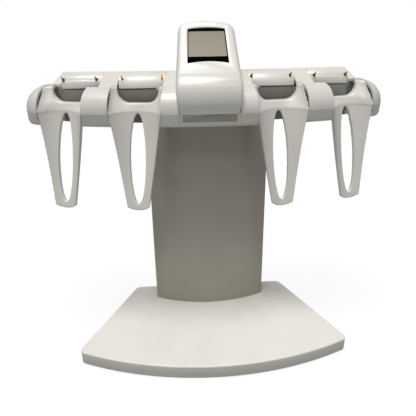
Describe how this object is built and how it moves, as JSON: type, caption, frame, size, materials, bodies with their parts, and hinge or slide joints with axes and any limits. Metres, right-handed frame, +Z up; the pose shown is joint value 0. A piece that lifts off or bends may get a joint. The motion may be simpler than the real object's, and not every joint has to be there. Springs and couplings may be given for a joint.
{
  "type": "pipette charging stand",
  "caption": "Free-standing stand that hangs pipettes on troughed hangers along an arched beam, with sprung charging contacts behind each saddle and a display head.",
  "frame": {"origin": "under the middle of the base's bounding box, on the surface the feet stand on", "axes": "+X along the beam to the right as seen from the front, +Y from the front to the rear, +Z up"},
  "size_m": [0.36, 0.145, 0.3205],
  "materials": {
    "base_white": "satin moulded plastic",
    "beam_white": "semi-gloss moulded plastic",
    "column_grey": "satin grey",
    "steel": "zinc-plated sheet steel",
    "feet_rubber": "matte",
    "screw_steel": "plated",
    "liner_grey": "matte",
    "gold": "gold plated",
    "mask_black": "glossy black",
    "lcd_grey": "unlit liquid-crystal panel, tan grey",
    "board_green": "solder-masked circuit board",
    "inlet_black": "matte black"
  },
  "bodies": {
    "stand": {"base_cover": "base_white", "base_bottom_cover": "base_white", "base_ballast": "steel", "base_feet": "feet_rubber", "base_screws": "screw_steel", "frame_bolts": "screw_steel", "column_front_cover": "column_grey", "column_rear_cover": "column_grey", "column_frame": "steel", "column_screws": "screw_steel", "beam_cover": "beam_white", "beam_bottom_cover": "beam_white", "beam_bracket": "steel", "beam_screws": "screw_steel", "hanger_screws": "screw_steel", "head_front": "beam_white", "head_rear_cover": "beam_white", "head_screws": "screw_steel", "display_mask": "mask_black", "lcd_panel": "lcd_grey", "display_board": "board_green", "power_inlet": "inlet_black", "hanger_1": "beam_white", "pocket_liner_1": "liner_grey", "contact_bar_1": "beam_white", "pin_barrels_1": "gold", "hanger_2": "beam_white", "pocket_liner_2": "liner_grey", "contact_bar_2": "beam_white", "pin_barrels_2": "gold", "hanger_3": "beam_white", "pocket_liner_3": "liner_grey", "contact_bar_3": "beam_white", "pin_barrels_3": "gold", "hanger_4": "beam_white", "pocket_liner_4": "liner_grey", "contact_bar_4": "beam_white", "pin_barrels_4": "gold"},
    "pin_1": {"contact_pin_1": "gold"},
    "pin_2": {"contact_pin_2": "gold"},
    "pin_3": {"contact_pin_3": "gold"},
    "pin_4": {"contact_pin_4": "gold"},
    "pin_5": {"contact_pin_5": "gold"},
    "pin_6": {"contact_pin_6": "gold"},
    "pin_7": {"contact_pin_7": "gold"},
    "pin_8": {"contact_pin_8": "gold"}
  },
  "joints": [
    {"name": "pin_1_press", "type": "slide", "parent": "stand", "child": "pin_1", "axis": [0.2067, 0.6762, -0.7071], "range_m": [0, 0.0015], "stiffness_N_per_m": 300, "springref_m": -0.0006},
    {"name": "pin_2_press", "type": "slide", "parent": "stand", "child": "pin_2", "axis": [0.2067, 0.6762, -0.7071], "range_m": [0, 0.0015], "stiffness_N_per_m": 300, "springref_m": -0.0006},
    {"name": "pin_3_press", "type": "slide", "parent": "stand", "child": "pin_3", "axis": [0.1167, 0.6974, -0.7071], "range_m": [0, 0.0015], "stiffness_N_per_m": 300, "springref_m": -0.0006},
    {"name": "pin_4_press", "type": "slide", "parent": "stand", "child": "pin_4", "axis": [0.1167, 0.6974, -0.7071], "range_m": [0, 0.0015], "stiffness_N_per_m": 300, "springref_m": -0.0006},
    {"name": "pin_5_press", "type": "slide", "parent": "stand", "child": "pin_5", "axis": [-0.1167, 0.6974, -0.7071], "range_m": [0, 0.0015], "stiffness_N_per_m": 300, "springref_m": -0.0006},
    {"name": "pin_6_press", "type": "slide", "parent": "stand", "child": "pin_6", "axis": [-0.1167, 0.6974, -0.7071], "range_m": [0, 0.0015], "stiffness_N_per_m": 300, "springref_m": -0.0006},
    {"name": "pin_7_press", "type": "slide", "parent": "stand", "child": "pin_7", "axis": [-0.2067, 0.6762, -0.7071], "range_m": [0, 0.0015], "stiffness_N_per_m": 300, "springref_m": -0.0006},
    {"name": "pin_8_press", "type": "slide", "parent": "stand", "child": "pin_8", "axis": [-0.2067, 0.6762, -0.7071], "range_m": [0, 0.0015], "stiffness_N_per_m": 300, "springref_m": -0.0006}
  ]
}
